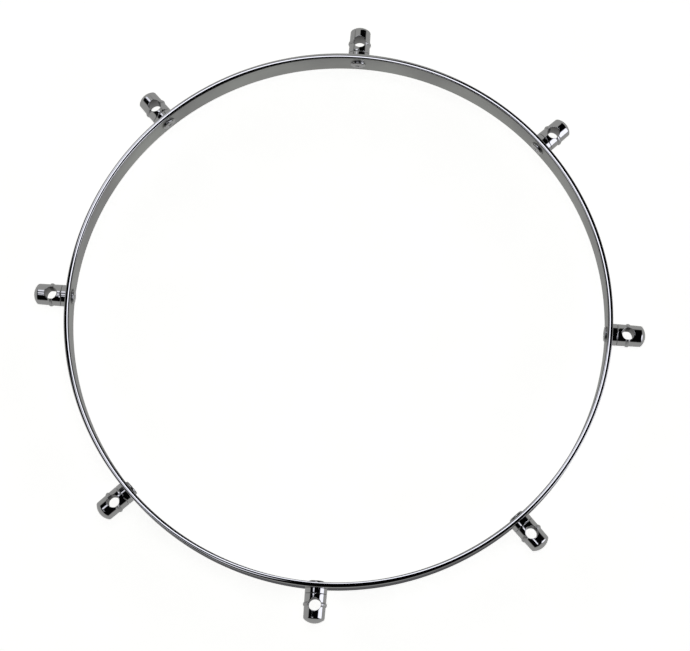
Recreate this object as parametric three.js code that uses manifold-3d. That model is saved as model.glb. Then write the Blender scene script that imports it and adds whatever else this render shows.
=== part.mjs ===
import * as THREE from 'three';
import { mergeVertices } from 'three/addons/utils/BufferGeometryUtils.js';
import Module from 'manifold-3d';

// Flat chromed counterhoop for a twelve inch drum, with eight round ears for the tension rods.
// Millimetres. +Z runs up the hoop's axis, and the origin is the centre of the lower edge.

// Band, a flat bar rolled to a ring with its edges rounded and polished
const band_outer_diameter = 315;
const band_wall = 3;
const band_height = 18.5;
const band_edge_radius = 0.75;

// Ear, a turned barrel that points away from the band and is bored for one rod
const ear_count = 8;
const ear_reach = 19.4;
const ear_base_diameter = 12.5;
const ear_tip_diameter = 12;
const ear_base_edge = 0.3;
const tip_dome_radius = 8.5;
const tip_edge_radius = 1.5;
const bead_width = 2.4;
const bead_height = 0.6;

// Rod hole, lightly countersunk where it opens on the crown and on the underside of the ear
const rod_hole_diameter = 7;
const rod_hole_reach = 9.1;
const countersink_depth = 0.4;
const countersink_angle = Math.PI / 2;

// Saddle, the ring between the band's round wall and the ear's flat end
const saddle_length = 3;
const saddle_wall = 1.75;
const saddle_edge = 0.3;

// Blind bore, tapped into the ear's neck (the spigot inside the saddle) for the screw
const bore_floor = 0.8;
const drill_point_angle = THREE.MathUtils.degToRad(118);

// Screw, a low round head inside the band with a cross recess
const screw_diameter = 5;
const screw_head_diameter = 9;
const screw_head_height = 1.5;
const screw_head_rim = 0.4;
const screw_tip_chamfer = 0.5;
const recess_width = 4.2;
const recess_blade = 1.1;
const recess_depth = 1.1;
const recess_floor_share = 0.5;

// Clearances between pieces that seat on one another, and the overrun of a cutter
const seat_gap = 0.3;
const fit_gap = 0.3;
const tip_gap = 0.5;
const overrun = 2;
const merge_distance = 1e-4;

// Facets
const band_facets = 120;
const edge_facets = 2;
const ear_facets = 24;
const bead_facets = 4;
const tip_edge_facets = 2;
const tip_dome_facets = 2;
const hole_facets = 20;
const bore_facets = 12;
const screw_facets = 16;
const screw_dome_facets = 2;

// Worked out from the sizes above
const band_radius = band_outer_diameter / 2;
const band_inner_radius = band_radius - band_wall;
const mid_height = band_height / 2;
const ear_base = saddle_length + seat_gap;
const ear_base_radius = ear_base_diameter / 2;
const ear_tip_radius = ear_tip_diameter / 2;
const rod_hole_radius = rod_hole_diameter / 2;
const saddle_inner_radius = ear_base_radius - saddle_wall;
const spigot_radius = saddle_inner_radius - fit_gap;
const bore_radius = screw_diameter / 2 + fit_gap;
const bore_end = rod_hole_reach - rod_hole_radius - bore_floor;

const wasm = await Module();
wasm.setup();

// A closed solid from any closed three.js geometry, without its seams and collapsed triangles
function solidOf(geometry) {
  geometry.deleteAttribute('normal');
  geometry.deleteAttribute('uv');
  const merged = mergeVertices(geometry, merge_distance);
  const corners = merged.index.array;
  const triangles = [];
  for (let i = 0; i < corners.length; i += 3) {
    const [a, b, c] = corners.slice(i, i + 3);
    if (a !== b && b !== c && c !== a) triangles.push(a, b, c);
  }
  return new wasm.Manifold(new wasm.Mesh({
    numProp: 3,
    vertProperties: new Float32Array(merged.attributes.position.array),
    triVerts: new Uint32Array(triangles),
  }));
}

// A three.js geometry from a solid
function geometryOf(solid) {
  const { vertProperties, triVerts } = solid.getMesh();
  const geometry = new THREE.BufferGeometry();
  geometry.setAttribute('position', new THREE.BufferAttribute(new Float32Array(vertProperties), 3));
  geometry.setIndex(new THREE.BufferAttribute(new Uint32Array(triVerts), 1));
  geometry.computeVertexNormals();
  return geometry;
}

// Points along an arc, both ends included, from one angle to another
function arc(centre_x, centre_y, radius, from, to, facets) {
  const points = [];
  for (let i = 0; i <= facets; i += 1) {
    const angle = from + ((to - from) * i) / facets;
    points.push(new THREE.Vector2(centre_x + radius * Math.cos(angle), centre_y + radius * Math.sin(angle)));
  }
  return points;
}

// A turned solid about +X, from an outline of (radius, distance along the axis)
function turnedAlongX(outline, facets) {
  const geometry = new THREE.LatheGeometry(outline, facets);
  return geometry.rotateZ(-Math.PI / 2);
}

// A turned solid about +Z, from an outline of (radius, height)
function turnedAlongZ(outline, facets) {
  const geometry = new THREE.LatheGeometry(outline, facets);
  return geometry.rotateX(Math.PI / 2);
}

// A plain round cutter along +X
function drillAlongX(radius, from, to, facets) {
  const outline = [
    new THREE.Vector2(0, from),
    new THREE.Vector2(radius, from),
    new THREE.Vector2(radius, to),
    new THREE.Vector2(0, to),
  ];
  return solidOf(turnedAlongX(outline, facets));
}

// Band: its section is the flat bar with four rounded edges, turned about the hoop's axis
function makeBand() {
  const low = band_edge_radius;
  const high = band_height - band_edge_radius;
  const outer = band_radius - band_edge_radius;
  const inner = band_inner_radius + band_edge_radius;
  const quarter = Math.PI / 2;
  const outline = [
    ...arc(outer, low, band_edge_radius, -quarter, 0, edge_facets),
    ...arc(outer, high, band_edge_radius, 0, quarter, edge_facets),
    ...arc(inner, high, band_edge_radius, quarter, 2 * quarter, edge_facets),
    ...arc(inner, low, band_edge_radius, 2 * quarter, 3 * quarter, edge_facets),
  ];
  outline.push(outline[0].clone());
  let band = solidOf(turnedAlongZ(outline, band_facets));
  const hole = drillAlongX(bore_radius, band_inner_radius - overrun, band_radius + overrun, bore_facets);
  for (let i = 0; i < ear_count; i += 1) {
    const turn = (360 * i) / ear_count;
    band = band.subtract(hole.rotate([0, 0, turn]).translate([0, 0, mid_height]));
  }
  return geometryOf(band);
}

// Radius of the ear's tapered barrel at a distance from the band
function barrelRadius(reach, barrel_end) {
  const share = (reach - ear_base) / (barrel_end - ear_base);
  return ear_base_radius + (ear_tip_radius - ear_base_radius) * share;
}

// Outline of the half-round bead that rings the barrel in line with the rod hole
function beadOutline(barrel_end) {
  const half = bead_width / 2;
  const radius = (half * half + bead_height * bead_height) / (2 * bead_height);
  const spread = Math.asin(half / radius);
  const crest = barrelRadius(rod_hole_reach, barrel_end) + bead_height;
  return arc(crest - radius, rod_hole_reach, radius, -spread, spread, bead_facets);
}

// Outline of the domed tip: a rounded shoulder that runs smoothly into a shallow dome
function tipOutline() {
  const dome_centre = ear_reach - tip_dome_radius;
  const shoulder_radius = ear_tip_radius - tip_edge_radius;
  const between = tip_dome_radius - tip_edge_radius;
  const lean = Math.acos(shoulder_radius / between);
  const shoulder = dome_centre + between * Math.sin(lean);
  const edge = arc(shoulder_radius, shoulder, tip_edge_radius, 0, lean, tip_edge_facets);
  const dome = arc(0, dome_centre, tip_dome_radius, lean, Math.PI / 2, tip_dome_facets);
  dome[tip_dome_facets].x = 0;
  return { start: shoulder, points: [...edge, ...dome.slice(1)] };
}

// Cutter for the rod hole, a straight bore with a cone at each mouth
function makeRodCutter() {
  const crown = ear_base_radius;
  const top = crown + overrun;
  const cone = crown - countersink_depth;
  const mouth = rod_hole_radius + (top - cone) * Math.tan(countersink_angle / 2);
  const outline = [
    new THREE.Vector2(0, -top),
    new THREE.Vector2(mouth, -top),
    new THREE.Vector2(rod_hole_radius, -cone),
    new THREE.Vector2(rod_hole_radius, cone),
    new THREE.Vector2(mouth, top),
    new THREE.Vector2(0, top),
  ];
  return solidOf(turnedAlongZ(outline, hole_facets)).translate([rod_hole_reach, 0, 0]);
}

// Cutter for the tapped bore in the spigot, with the drill's pointed end
function makeBoreCutter() {
  const point = bore_radius / Math.tan(drill_point_angle / 2);
  const outline = [
    new THREE.Vector2(0, -overrun),
    new THREE.Vector2(bore_radius, -overrun),
    new THREE.Vector2(bore_radius, bore_end - point),
    new THREE.Vector2(0, bore_end),
  ];
  return solidOf(turnedAlongX(outline, bore_facets));
}

// Ear: spigot, tapered barrel, bead and domed tip turned in one, then bored both ways
function makeEar() {
  const tip = tipOutline();
  const outline = [
    new THREE.Vector2(0, seat_gap),
    new THREE.Vector2(spigot_radius, seat_gap),
    new THREE.Vector2(spigot_radius, ear_base),
    new THREE.Vector2(ear_base_radius - ear_base_edge, ear_base),
    new THREE.Vector2(ear_base_radius, ear_base + ear_base_edge),
    ...beadOutline(tip.start),
    ...tip.points,
  ];
  const blank = solidOf(turnedAlongX(outline, ear_facets));
  return geometryOf(blank.subtract(makeRodCutter()).subtract(makeBoreCutter()));
}

// Saddle: a ring with one flat end, its other end hollowed to the band's round wall
function makeSaddle() {
  const radius = ear_base_radius;
  const inner = saddle_inner_radius;
  const outline = [
    new THREE.Vector2(inner, -overrun),
    new THREE.Vector2(radius, -overrun),
    new THREE.Vector2(radius, saddle_length - saddle_edge),
    new THREE.Vector2(radius - saddle_edge, saddle_length),
    new THREE.Vector2(inner, saddle_length),
    new THREE.Vector2(inner, -overrun),
  ];
  const ring = solidOf(turnedAlongX(outline, ear_facets));
  const half = ear_base_diameter;
  const wall = [
    new THREE.Vector2(0, -half),
    new THREE.Vector2(band_radius + seat_gap, -half),
    new THREE.Vector2(band_radius + seat_gap, half),
    new THREE.Vector2(0, half),
  ];
  const seat = solidOf(turnedAlongZ(wall, band_facets)).translate([-band_radius, 0, 0]);
  return geometryOf(ring.subtract(seat));
}

// One blade of the cross recess, narrowing to its floor
function makeRecessBlade(head_top) {
  const floor = recess_width * recess_floor_share;
  const outline = new THREE.Shape([
    new THREE.Vector2(-recess_width / 2, 0),
    new THREE.Vector2(recess_width / 2, 0),
    new THREE.Vector2(floor / 2, recess_depth),
    new THREE.Vector2(-floor / 2, recess_depth),
  ]);
  const geometry = new THREE.ExtrudeGeometry(outline, { depth: recess_blade, bevelEnabled: false });
  geometry.translate(0, 0, -recess_blade / 2);
  geometry.rotateZ(-Math.PI / 2);
  return solidOf(geometry.translate(head_top, 0, 0));
}

// Screw: a low domed head inside the band, its shank reaching into the ear's tapped bore
function makeScrew() {
  const shank_radius = screw_diameter / 2;
  const head_radius = screw_head_diameter / 2;
  const seat = -band_wall - seat_gap;
  const top = seat - screw_head_height;
  const rise = screw_head_height - screw_head_rim;
  const dome_radius = (head_radius * head_radius + rise * rise) / (2 * rise);
  const spread = Math.asin(head_radius / dome_radius);
  const middle = top + dome_radius;
  const dome = arc(0, middle, dome_radius, -Math.PI / 2, spread - Math.PI / 2, screw_dome_facets);
  dome[0].x = 0;
  const point = bore_radius / Math.tan(drill_point_angle / 2);
  const end = bore_end - point - tip_gap;
  const outline = [
    ...dome,
    new THREE.Vector2(head_radius, seat),
    new THREE.Vector2(shank_radius, seat),
    new THREE.Vector2(shank_radius, end - screw_tip_chamfer),
    new THREE.Vector2(shank_radius - screw_tip_chamfer, end),
    new THREE.Vector2(0, end),
  ];
  let screw = solidOf(turnedAlongX(outline, screw_facets));
  const blade = makeRecessBlade(top);
  screw = screw.subtract(blade).subtract(blade.rotate([90, 0, 0]));
  return geometryOf(screw);
}

// Polished chrome plate, a little softer on the band's rolled wall and on the screws
const hoop_chrome = { color: 0xc9cbd0, roughness: 0.16, metalness: 1 };
const ear_chrome = { color: 0xd6d8dd, roughness: 0.06, metalness: 1 };
const screw_chrome = { color: 0xb9bbc0, roughness: 0.22, metalness: 1 };

function namedMesh(name, geometry, finish) {
  const mesh = new THREE.Mesh(geometry, new THREE.MeshStandardMaterial(finish));
  mesh.name = name;
  return mesh;
}

const drum_hoop = new THREE.Group();
drum_hoop.add(namedMesh('hoop_band', makeBand(), hoop_chrome));

const ear_geometry = makeEar();
const saddle_geometry = makeSaddle();
const screw_geometry = makeScrew();

// Each station holds one ear, its saddle and its screw, on the band's wall at mid height
for (let i = 0; i < ear_count; i += 1) {
  const turn = (2 * Math.PI * i) / ear_count;
  const station = new THREE.Group();
  station.position.set(band_radius * Math.cos(turn), band_radius * Math.sin(turn), mid_height);
  station.rotation.z = turn;
  station.add(namedMesh(`rod_ear_${i + 1}`, ear_geometry, ear_chrome));
  station.add(namedMesh(`ear_saddle_${i + 1}`, saddle_geometry, ear_chrome));
  station.add(namedMesh(`ear_screw_${i + 1}`, screw_geometry, screw_chrome));
  drum_hoop.add(station);
}

export default drum_hoop;
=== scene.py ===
import math

import bmesh
import bpy
import numpy as np
from bpy.props import FloatProperty, FloatVectorProperty, IntProperty, PointerProperty
from mathutils import Matrix, Vector


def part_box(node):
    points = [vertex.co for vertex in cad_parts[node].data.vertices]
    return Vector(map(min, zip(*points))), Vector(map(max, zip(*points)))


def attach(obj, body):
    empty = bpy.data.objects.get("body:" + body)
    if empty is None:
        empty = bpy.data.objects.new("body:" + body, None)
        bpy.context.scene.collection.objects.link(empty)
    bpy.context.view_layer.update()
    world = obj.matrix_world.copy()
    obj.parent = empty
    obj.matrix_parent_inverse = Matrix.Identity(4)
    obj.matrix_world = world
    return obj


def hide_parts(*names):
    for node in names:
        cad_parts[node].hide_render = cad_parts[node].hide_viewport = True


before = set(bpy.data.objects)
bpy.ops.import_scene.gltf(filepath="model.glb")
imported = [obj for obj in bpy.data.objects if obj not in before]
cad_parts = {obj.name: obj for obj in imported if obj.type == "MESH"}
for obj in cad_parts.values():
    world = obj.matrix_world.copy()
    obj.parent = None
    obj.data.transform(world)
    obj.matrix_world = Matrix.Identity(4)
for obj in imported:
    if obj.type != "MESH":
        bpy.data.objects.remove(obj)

bl_info = {
    "name": "Drum Hoop Finisher",
    "version": (1, 0, 0),
    "blender": (4, 5, 0),
    "location": "3D View > Sidebar > Drum Hoop",
    "description": "Builds the plated surfaces and the studio of a flat drum hoop round its frame",
    "category": "Object",
}

MM = 0.001
SHARP_ANGLE = math.radians(35)  # Folds of a finished piece that are steeper stay sharp

# What the frame says: the hoop stands on z = 0, round the Z axis, and ear 1 points along +X
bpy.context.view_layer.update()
BAND_LOW, BAND_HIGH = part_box("hoop_band")
EAR_LOW, EAR_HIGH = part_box("rod_ear_1")
SADDLE_LOW, SADDLE_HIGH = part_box("ear_saddle_1")
SCREW_LOW, SCREW_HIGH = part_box("ear_screw_1")
BAND_RADIUS = BAND_HIGH.x
BAND_HEIGHT = BAND_HIGH.z - BAND_LOW.z
MID_HEIGHT = (BAND_HIGH.z + BAND_LOW.z) / 2
EAR_COUNT = sum(name.startswith("rod_ear_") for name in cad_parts)


def nodes_named(stem):
    """The frame's nodes of one kind, such as rod_ear_1 to rod_ear_8."""
    return sorted(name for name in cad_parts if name.startswith(stem))


def linear(hex_colour):
    """An sRGB hex colour as linear red, green, blue and alpha."""
    parts = [int(hex_colour[i : i + 2], 16) / 255 for i in (1, 3, 5)]
    lit = [c / 12.92 if c <= 0.04045 else ((c + 0.055) / 1.055) ** 2.4 for c in parts]
    return (*lit, 1.0)


def length(name, description, default):
    """A size property, shown in the scene's length unit."""
    return FloatProperty(
        name=name, description=description, default=default, min=0.0, precision=5, unit="LENGTH"
    )


def bearing(name, description, degrees):
    """An angle property, whose default is written in degrees."""
    return FloatProperty(
        name=name, description=description, default=math.radians(degrees), subtype="ANGLE"
    )


def colour(name, description, hex_colour):
    """A colour property whose default is written as sRGB hex."""
    return FloatVectorProperty(
        name=name,
        description=description,
        default=linear(hex_colour),
        size=4,
        min=0.0,
        max=1.0,
        subtype="COLOR",
    )


class HoopBandSizes(bpy.types.PropertyGroup):
    radius: length("Outer radius", "Radius of the band's outer wall", BAND_RADIUS)
    wall: length("Wall", "Thickness of the flat bar", 3 * MM)
    height: length("Height", "Height of the flat bar on edge", BAND_HEIGHT)
    edge_radius: length("Edge radius", "Rounding of the bar's four edges", 0.7 * MM)
    crown_radius: length("Crown radius", "Radius of the polished crown on each edge", 3 * MM)
    screw_hole: length("Screw hole", "Diameter of the hole behind each ear", 5.6 * MM)
    segments: IntProperty(name="Segments", description="Steps round the hoop", default=480, min=64)


class RodEarSizes(bpy.types.PropertyGroup):
    reach: length("Reach", "From the band's outer wall to the tip", EAR_HIGH.x - BAND_RADIUS)
    base_diameter: length("Base diameter", "Diameter at the saddle", SADDLE_HIGH.y - SADDLE_LOW.y)
    tip_diameter: length("Tip diameter", "Diameter at the domed tip", 12 * MM)
    dome_radius: length("Dome radius", "Radius of the shallow dome at the tip", 8.5 * MM)
    shoulder_radius: length("Shoulder radius", "Rounding between barrel and dome", 1.5 * MM)
    base_edge: length("Base edge", "Rounding of the barrel's flat end", 0.3 * MM)
    bead_width: length("Bead width", "Width of the half-round bead", 2.4 * MM)
    bead_height: length("Bead height", "Height of the bead over the barrel", 0.6 * MM)
    bead_blend: length("Bead blend", "Softness of the corner at the bead's foot", 0.12 * MM)
    hole_diameter: length("Rod hole", "Diameter of the hole for the tension rod", 7 * MM)
    hole_reach: length("Hole reach", "From the band's outer wall to the rod hole's axis", 9.1 * MM)
    countersink_depth: length("Countersink", "Depth of the 90 degree countersink", 0.4 * MM)
    mouth_edge: length("Mouth edge", "Softness of the polished rim of the countersink", 0.14 * MM)
    throat_edge: length("Throat edge", "Softness between countersink and bore", 0.08 * MM)
    neck_radius: length("Neck radius", "Radius of the neck inside the saddle", 4.2 * MM)
    bore_radius: length("Bore radius", "Radius of the tapped bore in the neck", 2.8 * MM)
    bore_wall: length("Bore wall", "Metal left between tapped bore and rod hole", 0.8 * MM)


class EarSaddleSizes(bpy.types.PropertyGroup):
    reach: length("Length", "From the band's wall to the flat end", SADDLE_HIGH.x - BAND_RADIUS)
    wall: length("Wall", "Thickness of the ring", 1.75 * MM)
    edge: length("Edge", "Rounding of the ring's flat end", 0.3 * MM)
    joint: length("Joint", "Fine gap that shows at each end of the ring", 0.08 * MM)


class EarScrewSizes(bpy.types.PropertyGroup):
    head_diameter: length("Head diameter", "Width of the screw's head", SCREW_HIGH.y - SCREW_LOW.y)
    head_height: length("Head height", "Height of the low head", 1.25 * MM)
    head_rim: length("Head rim", "Height of the head below its faint dome", 1.1 * MM)
    rim_radius: length("Rim radius", "Rounding between the head's rim and its dome", 0.8 * MM)
    shank_diameter: length("Shank diameter", "Diameter of the threaded shank", 5 * MM)
    recess_width: length("Recess width", "Width across the cross recess", 3.4 * MM)
    recess_blade: length("Recess blade", "Width of each slot of the recess", 0.7 * MM)
    recess_depth: length("Recess depth", "Depth of the cross recess", 0.45 * MM)


class FinishColours(bpy.types.PropertyGroup):
    chrome: colour("Chrome", "Colour of the polished plate", "#C6C6C6")
    satin: colour("Satin chrome", "Colour of the rolled inner wall", "#ACACAB")
    burnish: colour("Burnished chrome", "Inner wall where it was rubbed brighter", "#C8CAC6")
    # The bore colour is partly the dull bare steel and partly painted shade inside the rod holes
    bore: colour("Bore", "Colour of the drilled steel that the plate hardly reaches", "#6E6C6C")
    board: colour("Board", "Colour of the table under the hoop", "#F6F6F5")
    room: colour("Room", "Grey of the room, as the plate mirrors it", "#B2B2B1")
    shade: colour("Shade", "Dark of the table by the hoop, seen in the plate", "#5A5A5C")
    ceiling: colour("Ceiling", "Dark of the studio's ceiling", "#060607")
    cool_light: colour("Cool light", "Tint of the light panels", "#F3F4FF")


class StudioSettings(bpy.types.PropertyGroup):
    elevation: bearing("Elevation", "Camera's height above the horizon", 76.65)
    azimuth: bearing("Azimuth", "Camera's turn round the hoop, from -Y towards +X", 8.43)
    roll: bearing("Roll", "Camera's turn about its line of sight", 4.14)
    distance: length("Distance", "From the camera to the point it looks at", 1084.4 * MM)
    aim: FloatVectorProperty(
        name="Aim",
        description="Point that the camera looks at",
        default=(4.45 * MM, -5.84 * MM, 9.25 * MM),
        precision=5,
        subtype="TRANSLATION",
    )
    focal_length: FloatProperty(
        name="Focal length", description="Lens on a sensor 36 mm wide", default=98.1, unit="CAMERA"
    )
    board_size: length("Board size", "Side of the square board under the hoop", 24.0)
    card_radius: length("Card radius", "Black card in the hoop, seen only in the plate", 140 * MM)
    tent_radius: length("Tent radius", "Radius of the light tent's dome over the hoop", 900 * MM)
    lamp_size: length("Lamp size", "Side of the overhead panel", 1600 * MM)
    lamp_height: length("Lamp height", "Height of the overhead panel", 1700 * MM)
    lamp_power: FloatProperty(
        name="Lamp power", description="Power of the overhead panel", default=4.0, unit="POWER"
    )


# Meshes from rows of points


def grid_faces(rows, columns, first, closed):
    """Quads of a grid of points, whose columns meet round the back if it is closed."""
    last = columns if closed else columns - 1
    faces = []
    for i in range(rows - 1):
        for j in range(last):
            a = first + i * columns + j
            b = first + i * columns + (j + 1) % columns
            faces.append((a, b, b + columns, a + columns))
    return faces


def mesh_from_grids(name, grids, closed=(), marks=None):
    """One mesh from grids of points (row, column, xyz). The columns of the grids numbered in closed
    meet round the back, and marks are named numbers for every point."""
    points, faces = [], []
    first = 0
    for number, grid in enumerate(grids):
        rows, columns = grid.shape[:2]
        points.append(grid.reshape(-1, 3))
        faces += grid_faces(rows, columns, first, number in closed)
        first += rows * columns
    mesh = bpy.data.meshes.new(name)
    mesh.from_pydata(np.vstack(points).tolist(), [], faces)
    for mark, values in (marks or {}).items():
        layer = mesh.attributes.new(mark, "FLOAT", "POINT")
        layer.data.foreach_set("value", np.concatenate(values).astype(np.float32))
    return mesh


def flat_mesh(name, outline):
    """One level face with the given outline."""
    mesh = bpy.data.meshes.new(name)
    mesh.from_pydata([(x, y, 0.0) for x, y in outline], [], [tuple(range(len(outline)))])
    return mesh


def seal(mesh, mirrors=()):
    """Mirrors a part of a shape to the whole, merges its seams and turns its faces outwards."""
    seam, sliver = 0.002 * MM, 0.0005 * MM
    shape = bmesh.new()
    shape.from_mesh(mesh)
    for axis in mirrors:
        scale = Vector((-1.0 if i == axis else 1.0 for i in range(3)))
        copy = bmesh.ops.duplicate(shape, geom=shape.faces[:] + shape.edges[:] + shape.verts[:])
        twins = [item for item in copy["geom"] if isinstance(item, bmesh.types.BMVert)]
        bmesh.ops.scale(shape, vec=scale, verts=twins)
    bmesh.ops.remove_doubles(shape, verts=shape.verts, dist=seam)
    bmesh.ops.dissolve_degenerate(shape, dist=sliver, edges=shape.edges)
    bmesh.ops.recalc_face_normals(shape, faces=shape.faces)
    shape.to_mesh(mesh)
    shape.free()
    return mesh


def arc(centre, radius, start, end, steps):
    """Points (across, along) on an arc, with angles from the across axis."""
    angles = np.linspace(start, end, steps + 1)
    return [(centre[0] + radius * math.cos(a), centre[1] + radius * math.sin(a)) for a in angles]


# Geometry node trees


def add_node(tree, kind, settings=None, **links):
    """Adds a node with its settings. A link comes from a socket or from a node's first output, and
    any other value sets the input."""
    node = tree.nodes.new(kind)
    for key, value in (settings or {}).items():
        setattr(node, key, value)
    for key, value in links.items():
        number = key[1:]
        socket = node.inputs[int(number) if number.isdigit() else key.replace("_", " ")]
        if isinstance(value, bpy.types.Node):
            value = value.outputs[0]
        if isinstance(value, bpy.types.NodeSocket):
            tree.links.new(value, socket)
        else:
            socket.default_value = value
    return node


def new_tree(name, inputs):
    """A tree with a geometry input and output, and the named inputs given as name: kind."""
    tree = bpy.data.node_groups.new(name, "GeometryNodeTree")
    tree.interface.new_socket("Geometry", in_out="INPUT", socket_type="NodeSocketGeometry")
    for socket_name, kind in inputs.items():
        tree.interface.new_socket(socket_name, in_out="INPUT", socket_type="NodeSocket" + kind)
    tree.interface.new_socket("Geometry", in_out="OUTPUT", socket_type="NodeSocketGeometry")
    return tree, tree.nodes.new("NodeGroupInput"), tree.nodes.new("NodeGroupOutput")


def stations(tree, count, radius, height):
    """Points evenly round the hoop's axis, and the rotation that turns +X away from it at each."""
    step = add_node(tree, "ShaderNodeMath", {"operation": "DIVIDE"}, _0=math.tau, _1=count)
    index = add_node(tree, "GeometryNodeInputIndex")
    angle = add_node(tree, "ShaderNodeMath", {"operation": "MULTIPLY"}, _0=index, _1=step)
    cosine = add_node(tree, "ShaderNodeMath", {"operation": "COSINE"}, _0=angle)
    sine = add_node(tree, "ShaderNodeMath", {"operation": "SINE"}, _0=angle)
    across = add_node(tree, "ShaderNodeMath", {"operation": "MULTIPLY"}, _0=cosine, _1=radius)
    along = add_node(tree, "ShaderNodeMath", {"operation": "MULTIPLY"}, _0=sine, _1=radius)
    place = add_node(tree, "ShaderNodeCombineXYZ", X=across, Y=along, Z=height)
    points = add_node(tree, "GeometryNodePoints", Count=count, Position=place)
    turn = add_node(tree, "FunctionNodeAxisAngleToRotation", Angle=angle)
    return points, turn


def ring_tree():
    """Copies a piece round the hoop, makes the copies real and gives them their finish."""
    inputs = {"Count": "Int", "Radius": "Float", "Height": "Float", "Finish": "Material"}
    tree, source, result = new_tree("Ring of Pieces", inputs)
    points, turn = stations(
        tree, source.outputs["Count"], source.outputs["Radius"], source.outputs["Height"]
    )
    placed = add_node(
        tree, "GeometryNodeInstanceOnPoints",
        Points=points, Instance=source.outputs[0], Rotation=turn,
    )
    real = add_node(tree, "GeometryNodeRealizeInstances", Geometry=placed)
    finish = add_node(
        tree, "GeometryNodeSetMaterial", Geometry=real, Material=source.outputs["Finish"]
    )
    tree.links.new(finish.outputs[0], result.inputs[0])
    return tree


# Where hand polishing left the crest of the upper edge: how far inwards of the wall's middle it
# lies on average, and the waves that it makes round the hoop
CREST_MEAN = -0.115 * MM
CREST_WAVES = (  # cycles, wave height, degrees to its first top
    (1, 0.135 * MM, -84),
    (2, 0.111 * MM, 131),
    (3, 0.159 * MM, 160),
    (4, 0.250 * MM, 9),
    (5, 0.068 * MM, -87),
    (6, 0.121 * MM, 162),
)


def crest_shift(tree, place, sizes):
    """Height to add to a point of the band, so that the upper edge's crest drifts over the wall."""
    x, y, z = add_node(tree, "ShaderNodeSeparateXYZ", Vector=place).outputs
    flat = add_node(tree, "ShaderNodeCombineXYZ", X=x, Y=y)
    radius = add_node(tree, "ShaderNodeVectorMath", {"operation": "LENGTH"}, _0=flat)
    turn = add_node(tree, "ShaderNodeMath", {"operation": "ARCTAN2"}, _0=y, _1=x)
    drift = CREST_MEAN
    for cycles, wave, top in CREST_WAVES:
        phase = add_node(
            tree, "ShaderNodeMath", {"operation": "MULTIPLY_ADD"},
            _0=turn, _1=float(cycles), _2=-math.radians(top),
        )
        swing = add_node(tree, "ShaderNodeMath", {"operation": "COSINE"}, _0=phase)
        drift = add_node(
            tree, "ShaderNodeMath", {"operation": "MULTIPLY_ADD"}, _0=swing, _1=wave, _2=drift
        )
    inwards = add_node(
        tree, "ShaderNodeMath", {"operation": "SUBTRACT"},
        _0=sizes.radius - sizes.wall / 2, _1=radius.outputs["Value"],
    )
    half = add_node(tree, "ShaderNodeMath", {"operation": "MULTIPLY"}, _0=drift, _1=0.5)
    lever = add_node(tree, "ShaderNodeMath", {"operation": "SUBTRACT"}, _0=inwards, _1=half)
    rise = add_node(tree, "ShaderNodeMath", {"operation": "MULTIPLY"}, _0=lever, _1=drift)
    lean = add_node(tree, "ShaderNodeMath", {"operation": "DIVIDE"}, _0=rise, _1=sizes.crown_radius)
    upper = add_node(
        tree, "ShaderNodeMapRange", {"interpolation_type": "SMOOTHSTEP"}, Value=z,
        From_Min=MID_HEIGHT + sizes.height / 4,
        From_Max=MID_HEIGHT + sizes.height / 2 - sizes.edge_radius,
    )
    return add_node(tree, "ShaderNodeMath", {"operation": "MULTIPLY"}, _0=lean, _1=upper)


def band_tree(sizes):
    """Sweeps the bar's section round the hoop, moves its crest and drills it behind each ear."""
    tree, source, result = new_tree(
        "Rolled Band",
        {
            "Radius": "Float", "Height": "Float", "Segments": "Int", "Count": "Int",
            "Hole Radius": "Float", "Drill Length": "Float", "Finish": "Material",
        },
    )
    section = add_node(tree, "GeometryNodeMeshToCurve", Mesh=source.outputs[0])
    path = add_node(
        tree, "GeometryNodeCurvePrimitiveCircle",
        Resolution=source.outputs["Segments"], Radius=source.outputs["Radius"],
    )
    upright = add_node(tree, "GeometryNodeSetCurveNormal", {"mode": "Z_UP"}, Curve=path)
    swept = add_node(tree, "GeometryNodeCurveToMesh", Curve=upright, Profile_Curve=section)
    lift = add_node(tree, "ShaderNodeCombineXYZ", Z=source.outputs["Height"])
    raised = add_node(tree, "GeometryNodeTransform", Geometry=swept, Translation=lift)
    place = add_node(tree, "GeometryNodeInputPosition").outputs[0]
    offset = add_node(tree, "ShaderNodeCombineXYZ", Z=crest_shift(tree, place, sizes))
    polished = add_node(tree, "GeometryNodeSetPosition", Geometry=raised, Offset=offset)
    drill = add_node(
        tree, "GeometryNodeMeshCylinder", Vertices=48, Radius=source.outputs["Hole Radius"],
        Depth=source.outputs["Drill Length"],
    )
    laid = add_node(tree, "GeometryNodeTransform", Geometry=drill, Rotation=(0.0, math.pi / 2, 0.0))
    points, turn = stations(
        tree, source.outputs["Count"], source.outputs["Radius"], source.outputs["Height"]
    )
    placed = add_node(
        tree, "GeometryNodeInstanceOnPoints", Points=points, Instance=laid, Rotation=turn
    )
    drills = add_node(tree, "GeometryNodeRealizeInstances", Geometry=placed)
    drilled = add_node(
        tree, "GeometryNodeMeshBoolean", {"operation": "DIFFERENCE", "solver": "EXACT"},
        _0=polished, _1=drills,
    )
    real = add_node(tree, "GeometryNodeRealizeInstances", Geometry=drilled)
    finish = add_node(
        tree, "GeometryNodeSetMaterial", Geometry=real, Material=source.outputs["Finish"]
    )
    tree.links.new(finish.outputs[0], result.inputs[0])
    return tree


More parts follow.
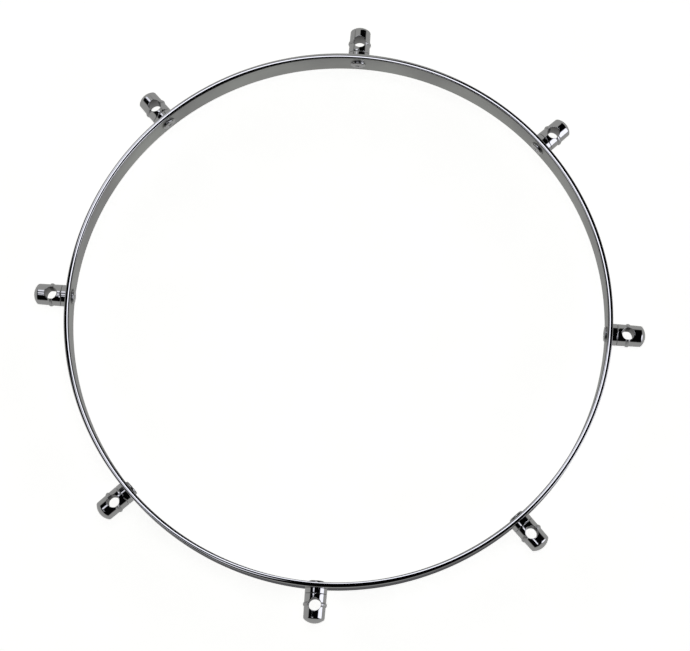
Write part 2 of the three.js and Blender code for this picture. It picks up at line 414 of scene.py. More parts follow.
def grown(name, mesh, tree, values):
    """The plain object that a tree makes of a mesh, smooth but for its sharp edges."""
    seed = bpy.data.objects.new(name + "_seed", mesh)
    bpy.context.scene.collection.objects.link(seed)
    modifier = seed.modifiers.new("Build", "NODES")
    modifier.node_group = tree
    for item in tree.interface.items_tree:
        if item.in_out == "INPUT" and item.name in values:
            modifier[item.identifier] = values[item.name]
    depsgraph = bpy.context.evaluated_depsgraph_get()
    made = bpy.data.meshes.new_from_object(seed.evaluated_get(depsgraph), depsgraph=depsgraph)
    seed.modifiers.remove(modifier)
    bpy.data.objects.remove(seed)
    if not made.polygons:
        raise RuntimeError(f"{name} came out without faces")
    made.name = name
    made.shade_smooth()
    made.set_sharp_from_angle(angle=SHARP_ANGLE)
    piece = bpy.data.objects.new(name, made)
    bpy.context.scene.collection.objects.link(piece)
    return piece


# Finishes


def new_material(name):
    """A material with its shader and output."""
    material = bpy.data.materials.new(name)
    material.use_nodes = True
    tree = material.node_tree
    tree.nodes.clear()
    shader = tree.nodes.new("ShaderNodeBsdfPrincipled")
    output = tree.nodes.new("ShaderNodeOutputMaterial")
    tree.links.new(shader.outputs[0], output.inputs[0])
    return material, tree, shader


def plated_chrome(colours):
    """Decorative chrome on turned and buffed metal: a dark mirror whose plate lies in a very slight
    orange peel, with faint buffing marks that soften the highlights. The buff skips over the bead,
    which is duller. The plate hardly reaches into the bored holes, so they look dark and dull, and
    painted shade darkens each bore further towards its top."""
    name = "polished_chrome_plate"
    if name in bpy.data.materials:
        return bpy.data.materials[name]
    material, tree, shader = new_material(name)
    shader.inputs["Metallic"].default_value = 1.0
    place = add_node(tree, "ShaderNodeTexCoord").outputs["Object"]
    bored = add_node(tree, "ShaderNodeAttribute", {"attribute_name": "bored"}).outputs["Fac"]
    height = add_node(tree, "ShaderNodeSeparateXYZ", Vector=place).outputs[2]
    # Painted shade: the bore is darkened more towards its top, as if less light got in from below
    painted_bore_shade = add_node(
        tree, "ShaderNodeMapRange", Value=height,
        From_Min=MID_HEIGHT - 6 * MM, From_Max=MID_HEIGHT + 4 * MM, To_Min=0.55, To_Max=1.0,
    )
    bare_steel_and_painted_shade = add_node(tree, "ShaderNodeMath", {"operation": "MULTIPLY"}, _0=bored, _1=painted_bore_shade)
    tone = add_node(
        tree, "ShaderNodeMix", {"data_type": "RGBA"}, Factor=bare_steel_and_painted_shade,
        _6=colours.chrome, _7=colours.bore,
    )
    tree.links.new(tone.outputs[2], shader.inputs["Base Color"])
    haze = add_node(tree, "ShaderNodeTexNoise", Vector=place, Scale=1 / (9 * MM), Detail=3.0)
    bright = add_node(tree, "ShaderNodeMapRange", Value=haze, To_Min=0.03, To_Max=0.07)
    beaded = add_node(tree, "ShaderNodeAttribute", {"attribute_name": "beaded"}).outputs["Fac"]
    bead_rough = add_node(
        tree, "ShaderNodeMath", {"operation": "MULTIPLY_ADD"}, _0=beaded, _1=0.3, _2=bright
    )
    rough = add_node(
        tree, "ShaderNodeMath", {"operation": "MULTIPLY_ADD"}, _0=bored, _1=0.3, _2=bead_rough
    )
    tree.links.new(rough.outputs[0], shader.inputs["Roughness"])
    peel = add_node(tree, "ShaderNodeTexNoise", Vector=place, Scale=1 / (2.2 * MM), Detail=2.0)
    bump = add_node(tree, "ShaderNodeBump", Strength=0.12, Distance=0.01 * MM, Height=peel)
    tree.links.new(bump.outputs[0], shader.inputs["Normal"])
    return material


def band_chrome(colours, sizes):
    """Chrome on rolled flat bar: buffed bright on the edges and outside, and left satin inside,
    where the fine grain of the rolling shows as lines along the band under faint clouds."""
    material, tree, shader = new_material("chromed_rolled_bar")
    shader.inputs["Metallic"].default_value = 1.0
    place = add_node(tree, "ShaderNodeTexCoord").outputs["Object"]
    x, y, _ = add_node(tree, "ShaderNodeSeparateXYZ", Vector=place).outputs
    flat = add_node(tree, "ShaderNodeCombineXYZ", X=x, Y=y)
    radius = add_node(tree, "ShaderNodeVectorMath", {"operation": "LENGTH"}, _0=flat)
    inner = sizes.radius - sizes.wall
    inside = add_node(
        tree, "ShaderNodeMapRange", Value=radius.outputs["Value"],
        From_Min=inner + 0.10 * MM, From_Max=inner + 0.02 * MM,
    )
    cloud = add_node(tree, "ShaderNodeTexNoise", Vector=place, Scale=1 / (55 * MM), Detail=3.0)
    share = add_node(tree, "ShaderNodeMapRange", Value=cloud, From_Min=0.3, From_Max=0.7)
    burnish = add_node(
        tree, "ShaderNodeMix", {"data_type": "RGBA"}, Factor=share,
        _6=colours.satin, _7=colours.burnish,
    )
    tone = add_node(
        tree, "ShaderNodeMix", {"data_type": "RGBA"}, Factor=inside,
        _6=colours.chrome, _7=burnish.outputs[2],
    )
    tree.links.new(tone.outputs[2], shader.inputs["Base Color"])
    rough = add_node(tree, "ShaderNodeMapRange", Value=inside, To_Min=0.03, To_Max=0.34)
    tree.links.new(rough.outputs[0], shader.inputs["Roughness"])
    stretch = add_node(tree, "ShaderNodeMapping", Vector=place, Scale=(30.0, 30.0, 1 / (0.5 * MM)))
    grain = add_node(tree, "ShaderNodeTexNoise", Vector=stretch, Scale=1.0, Detail=3.0)
    amount = add_node(tree, "ShaderNodeMapRange", Value=inside, To_Min=0.02, To_Max=0.25)
    bump = add_node(tree, "ShaderNodeBump", Strength=amount, Distance=0.02 * MM, Height=grain)
    tree.links.new(bump.outputs[0], shader.inputs["Normal"])
    return material


def screw_chrome(colours):
    """Chrome on cold-headed steel: bright but a little pitted, so its highlights are broken up."""
    material, tree, shader = new_material("chromed_screw_steel")
    shader.inputs["Base Color"].default_value = colours.chrome
    shader.inputs["Metallic"].default_value = 1.0
    place = add_node(tree, "ShaderNodeTexCoord").outputs["Object"]
    pits = add_node(tree, "ShaderNodeTexNoise", Vector=place, Scale=1 / (0.7 * MM), Detail=4.0)
    rough = add_node(tree, "ShaderNodeMapRange", Value=pits, To_Min=0.05, To_Max=0.16)
    tree.links.new(rough.outputs[0], shader.inputs["Roughness"])
    bump = add_node(tree, "ShaderNodeBump", Strength=0.2, Distance=0.02 * MM, Height=pits)
    tree.links.new(bump.outputs[0], shader.inputs["Normal"])
    return material


def matt_board(colours):
    """Matt coated board: a near-white that hardly varies, so the hoop stands clear of it."""
    material, tree, shader = new_material("matt_white_board")
    place = add_node(tree, "ShaderNodeTexCoord").outputs["Object"]
    mottle = add_node(tree, "ShaderNodeTexNoise", Vector=place, Scale=1 / (40 * MM), Detail=2.0)
    tone = add_node(
        tree, "ShaderNodeMix", {"data_type": "RGBA"}, Factor=mottle,
        _6=colours.board, _7=linear("#F3F3F2"),
    )
    tree.links.new(tone.outputs[2], shader.inputs["Base Color"])
    tree.links.new(tone.outputs[2], shader.inputs["Emission Color"])
    shader.inputs["Emission Strength"].default_value = 0.95
    shader.inputs["Roughness"].default_value = 0.9
    shader.inputs["Specular IOR Level"].default_value = 0.0
    return material


def black_flock(colours):
    """Flocked black paper: a deep dark with the faintest nap, that only shows in the plate."""
    material, tree, shader = new_material("flocked_black_paper")
    place = add_node(tree, "ShaderNodeTexCoord").outputs["Object"]
    nap = add_node(tree, "ShaderNodeTexNoise", Vector=place, Scale=1 / (3 * MM), Detail=2.0)
    tone = add_node(
        tree, "ShaderNodeMix", {"data_type": "RGBA"}, Factor=nap,
        _6=colours.ceiling, _7=linear("#101011"),
    )
    tree.links.new(tone.outputs[2], shader.inputs["Base Color"])
    shader.inputs["Roughness"].default_value = 0.95
    shader.inputs["Specular IOR Level"].default_value = 0.0
    return material


# Degrees from straight up at which the shade on the table under the hoop begins and is full
SHADE_RANGE = (164, 172)

# What hangs over the hoop, in the order in which it overlaps, on a chart of the sky in degrees. A
# strength is over 1 where a lamp stands behind the cloth. Squareness is 2 for an ellipse and more
# for a squarer shape, and softness is the share of its size over which its edge fades.
TENT_PANELS = (
    # colour, strength, across, along, half width, half length, squareness, softness
    ("ceiling", 1.0, 2, -8, 61, 70, 4.0, 0.08),
    ("room", 1.0, -25, 68, 28, 41, 4.0, 0.08),
    ("room", 1.0, 9, 62, 8, 12, 2.0, 0.2),
    ("cool_light", 1.4, -25, 24, 11, 8, 2.0, 0.15),
    ("cool_light", 1.3, -22, -1, 8, 7, 2.0, 0.2),
    ("cool_light", 1.6, -20, -18, 8, 2.5, 2.0, 0.3),
    ("cool_light", 1.6, -13, -28, 6, 6, 2.0, 0.3),
    ("cool_light", 1.9, 76, -17, 32, 28, 2.0, 0.12),
    ("cool_light", 2.4, -2.5, 13.2, 8.5, 8.5, 2.0, 0.12),
)


def chart_of_sky(tree, direction, colours, panels):
    """Colour seen in a direction of the room, from a chart of its sky: a direction's distance from
    the chart's middle is its angle from straight up, and each panel is a rounded shape there."""
    x, y, z = add_node(tree, "ShaderNodeSeparateXYZ", Vector=direction).outputs
    zenith = add_node(tree, "ShaderNodeMath", {"operation": "ARCCOSINE"}, _0=z)
    level = add_node(tree, "ShaderNodeCombineXYZ", X=x, Y=y)
    heading = add_node(tree, "ShaderNodeVectorMath", {"operation": "NORMALIZE"}, _0=level)
    chart = add_node(tree, "ShaderNodeVectorMath", {"operation": "SCALE"}, _0=heading, Scale=zenith)
    shade_start, shade_full = SHADE_RANGE
    under = add_node(
        tree, "ShaderNodeMapRange", {"interpolation_type": "SMOOTHSTEP"}, Value=zenith,
        From_Min=math.radians(shade_start), From_Max=math.radians(shade_full),
    )
    shown = add_node(
        tree, "ShaderNodeMix", {"data_type": "RGBA"},
        Factor=under, _6=colours.room, _7=colours.shade,
    ).outputs[2]
    for name, strength, across, along, width, height, squareness, softness in panels:
        panel_colour = tuple(c * strength for c in getattr(colours, name)[:3]) + (1.0,)
        middle = (math.radians(across), math.radians(along), 0.0)
        size = (math.radians(width), math.radians(height), 1.0)
        offset = add_node(
            tree, "ShaderNodeVectorMath", {"operation": "SUBTRACT"}, _0=chart, _1=middle
        )
        share = add_node(tree, "ShaderNodeVectorMath", {"operation": "DIVIDE"}, _0=offset, _1=size)
        sides = add_node(tree, "ShaderNodeVectorMath", {"operation": "ABSOLUTE"}, _0=share)
        x, y, _ = add_node(tree, "ShaderNodeSeparateXYZ", Vector=sides).outputs
        wide = add_node(tree, "ShaderNodeMath", {"operation": "POWER"}, _0=x, _1=squareness)
        long = add_node(tree, "ShaderNodeMath", {"operation": "POWER"}, _0=y, _1=squareness)
        both = add_node(tree, "ShaderNodeMath", {"operation": "ADD"}, _0=wide, _1=long)
        reach = add_node(tree, "ShaderNodeMath", {"operation": "POWER"}, _0=both, _1=1 / squareness)
        inside = add_node(
            tree, "ShaderNodeMapRange", {"interpolation_type": "SMOOTHSTEP"},
            Value=reach, From_Min=1 + softness, From_Max=1 - softness,
        )
        shown = add_node(
            tree, "ShaderNodeMix", {"data_type": "RGBA"}, Factor=inside, _6=shown, _7=panel_colour
        ).outputs[2]
    return shown


def tent_cloth(colours):
    """Nylon cloth of the light tent, lit from outside: bright where a lamp stands behind it, grey
    where only the room's light comes through and black where black cloth hangs over it."""
    material, tree, shader = new_material("lit_nylon_tent_cloth")
    place = add_node(tree, "ShaderNodeTexCoord").outputs["Object"]
    direction = add_node(tree, "ShaderNodeVectorMath", {"operation": "NORMALIZE"}, _0=place)
    shown = chart_of_sky(tree, direction, colours, TENT_PANELS)
    shader.inputs["Base Color"].default_value = (0.0, 0.0, 0.0, 1.0)
    shader.inputs["Specular IOR Level"].default_value = 0.0
    tree.links.new(shown, shader.inputs["Emission Color"])
    shader.inputs["Emission Strength"].default_value = 1.0
    material.cycles.emission_sampling = "NONE"
    return material


def studio_world(colours):
    """The rest of the room round the tent: dark above, grey below and darkest under the hoop."""
    world = bpy.data.worlds.new("studio")
    world.use_nodes = True
    tree = world.node_tree
    tree.nodes.clear()
    ray = add_node(tree, "ShaderNodeTexCoord").outputs["Generated"]
    shown = chart_of_sky(tree, ray, colours, TENT_PANELS[:1])
    seen = add_node(tree, "ShaderNodeLightPath").outputs["Is Camera Ray"]
    backdrop = add_node(
        tree, "ShaderNodeMix", {"data_type": "RGBA"}, Factor=seen, _6=shown, _7=colours.board
    )
    background = add_node(tree, "ShaderNodeBackground", Color=backdrop.outputs[2], Strength=1.0)
    output = add_node(tree, "ShaderNodeOutputWorld")
    tree.links.new(background.outputs[0], output.inputs[0])
    return world


def tent_mesh(radius):
    """The tent's dome over the hoop, open below and stopped just short of its top."""
    turns = np.linspace(0, math.tau, 96, endpoint=False)
    rows = []
    for rise in np.radians(np.linspace(0, 89.5, 40)):
        level, height = radius * math.cos(rise), radius * math.sin(rise)
        ring = [level * np.cos(turns), level * np.sin(turns), np.full_like(turns, height)]
        rows.append(np.stack(ring, -1))
    return mesh_from_grids("light_tent", [np.stack(rows)], closed=(0,))


# Shapes of the pieces


def band_section(sizes):
    """The flat bar's section about its middle: upright walls, rounded edges and a faint crown."""
    half_wall, half_height = sizes.wall / 2, sizes.height / 2
    r, crown = sizes.edge_radius, sizes.crown_radius
    corner_steps, crown_steps, wall_rows = 7, 6, 15
    lean = math.asin((half_wall - r) / (crown - r))
    edge = half_height - crown + (crown - r) * math.cos(lean)
    x, crown_centre, quarter = half_wall - r, half_height - crown, math.pi / 2
    wall_end = edge - 0.2 * MM
    rows = np.linspace(-wall_end, wall_end, wall_rows)
    outline = arc((x, -edge), r, lean - quarter, 0, corner_steps)
    outline += [(half_wall, z) for z in rows]
    outline += arc((x, edge), r, 0, quarter - lean, corner_steps)
    top = arc((0, crown_centre), crown, quarter - lean, quarter + lean, crown_steps)
    outline += top[1:-1]
    outline += arc((-x, edge), r, quarter + lean, 2 * quarter, corner_steps)
    outline += [(-half_wall, z) for z in rows[::-1]]
    outline += arc((-x, -edge), r, 2 * quarter, 3 * quarter - lean, corner_steps)
    bottom = arc((0, -crown_centre), crown, 3 * quarter - lean, 3 * quarter + lean, crown_steps)
    outline += bottom[1:-1]
    mesh = bpy.data.meshes.new("band_section")
    count = len(outline)
    edges = [(i, (i + 1) % count) for i in range(count)]
    mesh.from_pydata([(a, b, 0.0) for a, b in outline], edges, [])
    return mesh


class EarForm:
    """The turned outline of an ear: distances run along +X from the band's outer wall."""

    def __init__(self, sizes, saddle):
        self.base = saddle.reach + saddle.joint
        self.base_radius = sizes.base_diameter / 2
        self.tip_radius = sizes.tip_diameter / 2
        dome_centre = sizes.reach - sizes.dome_radius
        between = sizes.dome_radius - sizes.shoulder_radius
        self.lean = math.acos((self.tip_radius - sizes.shoulder_radius) / between)
        self.dome_centre = dome_centre
        self.shoulder = dome_centre + between * math.sin(self.lean)
        half = sizes.bead_width / 2
        self.bead_radius = (half**2 + sizes.bead_height**2) / (2 * sizes.bead_height)
        self.hole = sizes.hole_reach
        self.crest = self.taper(self.hole) + sizes.bead_height
        self.blend = sizes.bead_blend
        self.bead_zone = half + sizes.bead_blend

    def taper(self, x):
        """Radius of the plain barrel, which narrows evenly from its base to its shoulder."""
        share = (x - self.base) / (self.shoulder - self.base)
        return self.base_radius + (self.tip_radius - self.base_radius) * share

    def radius(self, x):
        """Radius of the barrel with its bead, which meet in a soft corner."""
        x = np.asarray(x, float)
        barrel = self.taper(x)
        inside = np.maximum(self.bead_radius**2 - (x - self.hole) ** 2, 0.0)
        bead = self.crest - self.bead_radius + np.sqrt(inside)
        bead = np.where(inside > 0, bead, 0.0)
        near = np.maximum(self.blend - np.abs(barrel - bead), 0.0)
        return np.maximum(barrel, bead) + near**2 / (4 * self.blend)

    def point(self, x, turn):
        """A point of the barrel, turned about the ear's axis from straight up."""
        r = self.radius(x)
        return np.stack([x + 0 * turn, r * np.sin(turn), r * np.cos(turn)], -1)


def even_along(form, start, end, steps):
    """Distances that divide the bead's outline into equal lengths."""
    x = np.linspace(start, end, 2000)
    r = form.radius(x)
    run = np.concatenate([[0.0], np.cumsum(np.hypot(np.diff(x), np.diff(r)))])
    return np.interp(np.linspace(0, run[-1], steps + 1), run, x)


def ear_mesh(sizes, saddle):
    """One ear from a quarter of its surface: the mesh's lines run from the rim of the rod hole out
    to a band of even rows, and straight along the bead, so the plate reflects cleanly."""
    form = EarForm(sizes, saddle)
    bore = sizes.hole_diameter / 2
    cone = form.base_radius - sizes.countersink_depth
    drop = cone - bore
    side_turn, side_steps, flank_steps = math.radians(60), 15, 7
    bead_steps, wing_steps = 18, (10, 8)

    def mouth(dx):
        """Height and offset of the hole's rim. The countersink rises as fast as it widens. Where
        the bead's sides fall below it, the bore itself breaks through, its corner taken off."""
        r = form.radius(form.hole + dx)
        z = (drop + np.sqrt(2 * dx**2 + 2 * r**2 - drop**2)) / 2
        cone_y = np.sqrt(np.maximum(r**2 - z**2, 0.0))
        bore_y = np.sqrt(np.maximum((bore + sizes.mouth_edge) ** 2 - dx**2, 0.0))
        y = np.maximum(cone_y, bore_y)
        return np.sqrt(r**2 - y**2), y

    def mouth_end(sign):
        """Where the rim crosses the ear's crown."""
        dx = bore * sign
        for _ in range(40):  # it settles in far fewer rounds
            dx = sign * (float(form.radius(form.hole + dx)) - drop)
        return dx

    far, near = mouth_end(1), mouth_end(-1)
    x_high = (form.hole + far + form.shoulder) / 2
    x_low = (form.hole + near + form.base + sizes.base_edge) / 2
    zone = form.bead_zone
    bead_x = even_along(form, form.hole + zone, form.hole - zone, bead_steps)
    tip_wing = np.linspace(x_high, form.hole + zone, wing_steps[0] + 1)
    neck_wing = np.linspace(form.hole - zone, x_low, wing_steps[1] + 1)
    side = np.linspace(0, side_turn, side_steps + 1)

    # The rim and the outer border, line by line, from the tip side round to the neck side
    along = np.concatenate([tip_wing[:-1], bead_x, neck_wing[1:]])
    border_x = np.concatenate([np.full(side_steps, x_high), along, np.full(side_steps, x_low)])
    border_turn = np.concatenate([side[:-1], np.full(len(along), side_turn), side[::-1][1:]])
    tip_count = side_steps + wing_steps[0]
    neck_count = side_steps + wing_steps[1]
    tip_dx = far * np.cos(np.linspace(0, math.acos(zone / far), tip_count + 1))
    neck_dx = near * np.cos(np.linspace(math.acos(-zone / near), 0, neck_count + 1))
    rim_dx = np.concatenate([tip_dx[:-1], bead_x - form.hole, neck_dx[1:]])
    rim_z, rim_y = mouth(rim_dx)
    rim_y[[0, -1]] = 0.0
    rim_turn = np.arctan2(rim_y, rim_z)
    rim_x = form.hole + rim_dx
    rim = np.stack([rim_x, rim_y, rim_z], -1)
    widths = np.hypot(rim_dx, rim_y)
    heading = np.stack([rim_dx / widths, rim_y / widths], -1)

    spans = np.linalg.norm(form.point(border_x, border_turn) - rim, axis=1)
    start = sizes.mouth_edge / spans
    rows = []
    for share in np.linspace(1, 0, 9) ** 1.25:  # rows from border to rim, closest at the rim
        t = start + (1 - start) * share
        x, turn = rim_x + (border_x - rim_x) * t, rim_turn + (border_turn - rim_turn) * t
        rows.append(form.point(x, turn))

    def on_axis_ring(width, height):
        """A point at a distance from the rod hole's axis, on each line."""
        x, y = form.hole + heading[:, 0] * width, heading[:, 1] * width
        return np.stack([x, y, height + 0 * y], -1)

    def rounded(before, corner, after, steps):
        """Rows of a soft corner between two edges, without its first row."""
        found = []
        for t in np.linspace(0, 1, steps + 1)[1:]:
            found.append((1 - t) ** 2 * before + 2 * t * (1 - t) * corner + t**2 * after)
        return found

    below = sizes.mouth_edge / math.sqrt(2)
    top_z = rim_z - below
    foot_z = np.minimum(cone, top_z - 2 * sizes.throat_edge)
    cone_top = on_axis_ring(np.maximum(widths - below, bore), top_z)
    rows += rounded(rows[-1], rim, cone_top, 4)
    corner = on_axis_ring(np.full_like(widths, bore), foot_z)
    rows += [cone_top + (corner - cone_top) * t for t in (0.35, 0.7)]
    rows += rounded(rows[-1], corner, corner - (0, 0, sizes.throat_edge), 2)
    depths = (cone * 0.8, cone * 0.4, 0.0)
    rows += [on_axis_ring(np.full_like(widths, bore), height) for height in depths]
    bore_rows = len(depths) + 1
    hole_patch = np.stack(rows)

    flank = np.linspace(side_turn, math.pi / 2, flank_steps + 1)
    flank_patch = np.stack([form.point(along, np.full_like(along, turn)) for turn in flank])

    turns = np.concatenate([side, flank[1:]])

    def turned(outline):
        """A quarter turn of an outline of (radius, distance along the axis)."""
        return np.stack([
            np.stack([np.full_like(turns, x), r * np.sin(turns), r * np.cos(turns)], -1)
            for r, x in outline
        ])

    shoulder_centre = (form.tip_radius - sizes.shoulder_radius, form.shoulder)
    tip = [(float(form.radius(x)), x) for x in np.linspace(x_high, form.shoulder, 4)]
    tip += arc(shoulder_centre, sizes.shoulder_radius, 0, form.lean, 8)[1:]
    tip += arc((0, form.dome_centre), sizes.dome_radius, form.lean, math.pi / 2, 9)[1:]
    edge = sizes.base_edge
    base_radius = float(form.radius(form.base + edge))
    neck = [(float(form.radius(x_low)), x_low)]
    neck += arc((base_radius - edge, form.base + edge), edge, 0, -math.pi / 2, 4)
    neck_end = EAR_LOW.x - BAND_RADIUS
    bore_end = form.hole - bore - sizes.bore_wall
    drill_point = math.radians(118)
    point_length = sizes.bore_radius / math.tan(drill_point / 2)
    chamfer = 0.3 * MM
    neck += [
        (sizes.neck_radius + 0.25 * MM, form.base),
        (sizes.neck_radius, form.base),
        (sizes.neck_radius, neck_end + chamfer),
        (sizes.neck_radius - chamfer, neck_end),
        (sizes.bore_radius, neck_end),
        (sizes.bore_radius, bore_end - point_length),
        (0.0, bore_end),
    ]
    grids = [hole_patch, flank_patch, turned(tip), turned(neck)]
    bored = [np.zeros(grid.shape[0] * grid.shape[1]) for grid in grids]
    bored[0][-bore_rows * hole_patch.shape[1] :] = 1.0
    reach = form.bead_zone * 0.95  # short of the bead's foot
    beaded = [np.abs(grid[..., 0].ravel() - form.hole) < reach for grid in grids]
    mesh = mesh_from_grids("rod_ear", grids, marks={"bored": bored, "beaded": beaded})
    return seal(mesh, mirrors=(1, 2))


def saddle_mesh(sizes, ear):
    """The ring between band and ear: one end flat, the other hollowed to the band's round wall."""
    outer, inner = ear.base_diameter / 2, ear.base_diameter / 2 - sizes.wall
    flat, edge, bevel = sizes.reach, sizes.edge, 0.1 * MM
    turns = np.linspace(0, math.tau, 96, endpoint=False)

    def ring(radius, along):
        """A ring at a distance from the band, or on the band's wall if that is None."""
        y = radius * np.sin(turns)
        seat = np.sqrt((BAND_RADIUS + sizes.joint) ** 2 - y**2) - BAND_RADIUS
        x = seat if along is None else np.full_like(turns, along)
        return np.stack([x, y, radius * np.cos(turns)], -1)

    outline = [(inner + bevel, None), (outer - bevel, None)]
    outline += [(outer, 0.12 * MM), (outer, 0.5 * MM), (outer, flat - edge - 0.3 * MM)]
    outline += arc((outer - edge, flat - edge), edge, 0, math.pi / 2, 4)
    outline += [(inner + bevel, flat), (inner, flat - bevel), (inner, 0.5 * MM), (inner, 0.12 * MM)]
    rows = [ring(radius, along) for radius, along in outline]
    grid = np.stack(rows + rows[:1])
    return seal(mesh_from_grids("ear_saddle", [grid], closed=(0,)))


def screw_mesh(sizes, band):
    """A low domed head with a cross recess, and the shank that reaches into the ear."""
    head, shank = sizes.head_diameter / 2, sizes.shank_diameter / 2
    seat = -band.wall - 0.1 * MM  # a fine joint under the head, inside the band
    top = seat - sizes.head_height
    rise = sizes.head_height - sizes.head_rim
    dome = (head**2 + rise**2) / (2 * rise)
    blade, draft = sizes.recess_blade / 2, 0.07 * MM
    half, floor = sizes.recess_width / 2, sizes.recess_width / 4

    def sink(u, v):
        """Depth of the cross recess under the dome."""
        wall = np.clip((blade + draft - np.abs(v)) / (2 * draft), 0, 1)
        end = np.clip((half - np.abs(u)) / (half - floor), 0, 1)
        return wall * np.minimum(1.0, end)

    def face(u, v):
        """The head's face at a place across and up."""
        depth = sizes.recess_depth * np.maximum(sink(u, v), sink(v, u))
        x = top + dome - np.sqrt(dome**2 - u**2 - v**2) + depth
        return np.stack([x, u, v], -1)

    marks = [0.0, blade * 0.5, blade - draft * 1.6, blade - draft, blade + draft]
    marks += [blade + draft * 1.8, floor, (floor + half) / 2, half, half + 0.25 * MM]
    lines = np.array(sorted({-m for m in marks} | set(marks)))
    u, v = np.meshgrid(lines, lines, indexing="ij")
    centre = face(u, v)
    edge = lines[-1]
    ones = np.ones(len(lines) - 1)
    square = np.concatenate([
        np.stack([ones * edge, lines[:-1]], -1),
        np.stack([lines[::-1][:-1], ones * edge], -1),
        np.stack([ones * -edge, lines[::-1][:-1]], -1),
        np.stack([lines[:-1], ones * -edge], -1),
    ])
    angles = np.arctan2(square[:, 1], square[:, 0])
    circle = np.stack([np.cos(angles), np.sin(angles)], -1)
    soft = sizes.rim_radius
    meet = math.asin((head - soft) / (dome - soft))
    reach = dome * math.sin(meet)
    rows = []
    for t in np.linspace(0, 1, 7):
        place = square * (1 - t) + circle * reach * t
        rows.append(face(place[:, 0], place[:, 1]))

    def ring(radius, x):
        """A ring of the rim or the shank at a distance from the band's outer wall."""
        return np.stack([np.full(len(circle), x), circle[:, 0] * radius, circle[:, 1] * radius], -1)

    rim_x = top + dome - (dome - soft) * math.cos(meet)
    for turn in np.linspace(meet, math.pi / 2, 8)[1:]:
        rows.append(ring(head - soft + soft * math.sin(turn), rim_x - soft * math.cos(turn)))
    bevel, fillet, chamfer = 0.05 * MM, 0.1 * MM, 0.5 * MM
    rows += [ring(head, seat - bevel), ring(head - bevel, seat)]
    rows += [ring(shank + fillet, seat), ring(shank, seat + fillet)]
    end = SCREW_HIGH.x - BAND_RADIUS
    rows += [ring(shank, end - chamfer), ring(shank - chamfer, end), ring(0.0, end)]
    return seal(mesh_from_grids("ear_screw", [centre, np.stack(rows)], closed=(1,)))


# Operators


def ring_of(name, mesh, finish, stem):
    """Sets one kind of piece round the hoop on the root body, in place of its frame nodes."""
    values = {"Count": EAR_COUNT, "Radius": BAND_RADIUS, "Height": MID_HEIGHT, "Finish": finish}
    piece = grown(name, mesh, ring_tree(), values)
    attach(piece, "root")
    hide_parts(*nodes_named(stem))


def dressed(name, mesh, finish):
    """An object of the studio, in its finish."""
    mesh.materials.append(finish)
    item = bpy.data.objects.new(name, mesh)
    bpy.context.scene.collection.objects.link(item)
    return item


def aimed_camera(settings):
    """A camera that looks at its aim from its turn, height and distance."""
    data = bpy.data.cameras.new("camera")
    data.lens, data.sensor_width = settings.focal_length, 36.0
    data.clip_start, data.clip_end = 0.05, 50.0  # metres, from near the lens to past the board
    camera = bpy.data.objects.new("camera", data)
    bpy.context.scene.collection.objects.link(camera)
    e, a = settings.elevation, settings.azimuth
    back = Vector((math.sin(a) * math.cos(e), -math.cos(a) * math.cos(e), math.sin(e)))
    right = Vector((0, 0, 1)).cross(back).normalized()
    facing = Matrix((right, back.cross(right), back)).transposed().to_4x4()
    place = Matrix.Translation(Vector(settings.aim) + back * settings.distance)
    camera.matrix_world = place @ facing @ Matrix.Rotation(-settings.roll, 4, "Z")
    return camera


class HOOP_OT_band(bpy.types.Operator):
    """Sweeps the rolled band and drills it for the ear screws"""

    bl_idname = "drum_hoop.band"
    bl_label = "Make Band"

    def execute(self, context):
        sizes, colours = context.scene.hoop_band, context.scene.hoop_colours
        values = {
            "Radius": sizes.radius - sizes.wall / 2,
            "Height": MID_HEIGHT,
            "Segments": sizes.segments,
            "Count": EAR_COUNT,
            "Hole Radius": sizes.screw_hole / 2,
            "Drill Length": 4 * sizes.wall,
            "Finish": band_chrome(colours, sizes),
        }
        piece = grown("band", band_section(sizes), band_tree(sizes), values)
        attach(piece, "root")
        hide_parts("hoop_band")
        return {"FINISHED"}


class HOOP_OT_ears(bpy.types.Operator):
    """Turns and bores the rod ears and sets them round the band"""

    bl_idname = "drum_hoop.ears"
    bl_label = "Make Rod Ears"

    def execute(self, context):
        scene = context.scene
        mesh = ear_mesh(scene.hoop_ears, scene.hoop_saddles)
        ring_of("rod_ears", mesh, plated_chrome(scene.hoop_colours), "rod_ear_")
        return {"FINISHED"}


class HOOP_OT_saddles(bpy.types.Operator):
    """Makes the saddles that seat the ears on the band"""

    bl_idname = "drum_hoop.saddles"
    bl_label = "Make Ear Saddles"

    def execute(self, context):
        scene = context.scene
        mesh = saddle_mesh(scene.hoop_saddles, scene.hoop_ears)
        finish = plated_chrome(scene.hoop_colours)
        ring_of("ear_saddles", mesh, finish, "ear_saddle_")
        return {"FINISHED"}


class HOOP_OT_screws(bpy.types.Operator):
    """Makes the screws that hold the ears from inside the band"""

    bl_idname = "drum_hoop.screws"
    bl_label = "Make Ear Screws"

    def execute(self, context):
        scene = context.scene
        mesh = screw_mesh(scene.hoop_screws, scene.hoop_band)
        ring_of("ear_screws", mesh, screw_chrome(scene.hoop_colours), "ear_screw_")
        return {"FINISHED"}


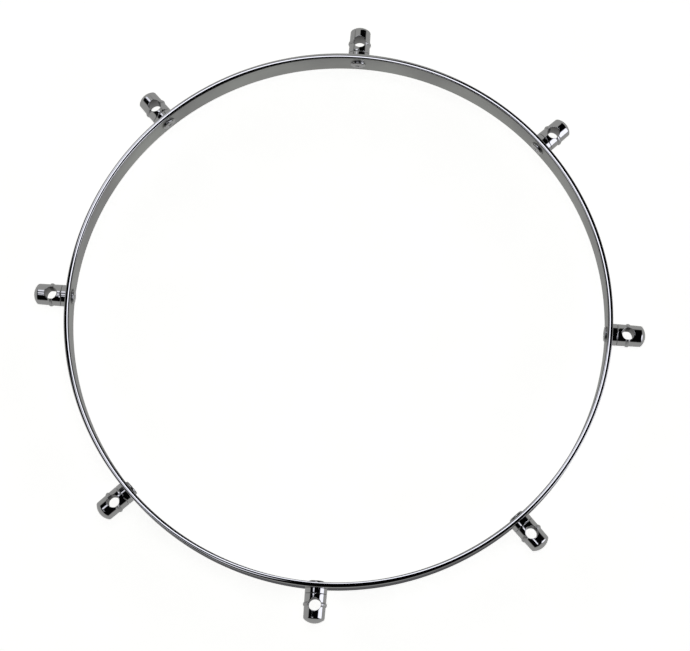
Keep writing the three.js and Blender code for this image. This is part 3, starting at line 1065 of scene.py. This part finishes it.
class HOOP_OT_studio(bpy.types.Operator):
    """Sets the board, the black card, the light tent, the lamp and the camera"""

    bl_idname = "drum_hoop.studio"
    bl_label = "Make Studio"

    def execute(self, context):
        scene = context.scene
        settings, colours = scene.hoop_studio, scene.hoop_colours
        scene.view_settings.view_transform = "Standard"
        half = settings.board_size / 2
        corners = [(-half, -half), (half, -half), (half, half), (-half, half)]
        floor = dressed("board", flat_mesh("board", corners), matt_board(colours))
        floor.visible_glossy = False

        rim = arc((0, 0), settings.card_radius, 0, math.tau, 64)[:-1]
        card = dressed("black_card", flat_mesh("black_card", rim), black_flock(colours))
        card.location.z = 0.2 * MM  # clear of the board
        card.visible_camera = card.visible_diffuse = card.visible_shadow = False

        dome = dressed("light_tent", tent_mesh(settings.tent_radius), tent_cloth(colours))
        dome.visible_camera = dome.visible_diffuse = dome.visible_shadow = False

        scene.camera = aimed_camera(settings)
        scene.world = studio_world(colours)
        lamp_data = bpy.data.lights.new("overhead_panel", "AREA")
        lamp_data.energy = settings.lamp_power
        lamp_data.size = settings.lamp_size
        lamp = bpy.data.objects.new("overhead_panel", lamp_data)
        lamp.location = (0.0, 0.2, settings.lamp_height)  # a little behind the hoop's middle
        lamp.visible_glossy = False
        scene.collection.objects.link(lamp)
        return {"FINISHED"}


class HOOP_PT_panel(bpy.types.Panel):
    """Lists the hoop's pieces, their sizes and their colours"""

    bl_idname = "HOOP_PT_panel"
    bl_label = "Drum Hoop"
    bl_space_type = "VIEW_3D"
    bl_region_type = "UI"
    bl_category = "Drum Hoop"

    def draw(self, context):
        makers = {settings: operator for operator, settings in STEPS}
        for settings, group in GROUPS.items():
            column = self.layout.column(align=True)
            if settings in makers:
                column.operator(makers[settings].bl_idname)
            else:
                column.label(text="Colours")
            for name in group.__annotations__:
                column.prop(getattr(context.scene, settings), name)


GROUPS = {
    "hoop_band": HoopBandSizes,
    "hoop_ears": RodEarSizes,
    "hoop_saddles": EarSaddleSizes,
    "hoop_screws": EarScrewSizes,
    "hoop_colours": FinishColours,
    "hoop_studio": StudioSettings,
}
STEPS = (
    (HOOP_OT_band, "hoop_band"),
    (HOOP_OT_ears, "hoop_ears"),
    (HOOP_OT_saddles, "hoop_saddles"),
    (HOOP_OT_screws, "hoop_screws"),
    (HOOP_OT_studio, "hoop_studio"),
)


def register():
    for name, group in GROUPS.items():
        bpy.utils.register_class(group)
        setattr(bpy.types.Scene, name, PointerProperty(type=group))
    for operator, _ in STEPS:
        bpy.utils.register_class(operator)
    bpy.utils.register_class(HOOP_PT_panel)


def unregister():
    bpy.utils.unregister_class(HOOP_PT_panel)
    for operator, _ in reversed(STEPS):
        bpy.utils.unregister_class(operator)
    for name, group in reversed(GROUPS.items()):
        delattr(bpy.types.Scene, name)
        bpy.utils.unregister_class(group)


def main():
    register()
    bpy.ops.drum_hoop.band()
    bpy.ops.drum_hoop.ears()
    bpy.ops.drum_hoop.saddles()
    bpy.ops.drum_hoop.screws()
    bpy.ops.drum_hoop.studio()


if __name__ == "__main__":
    main()
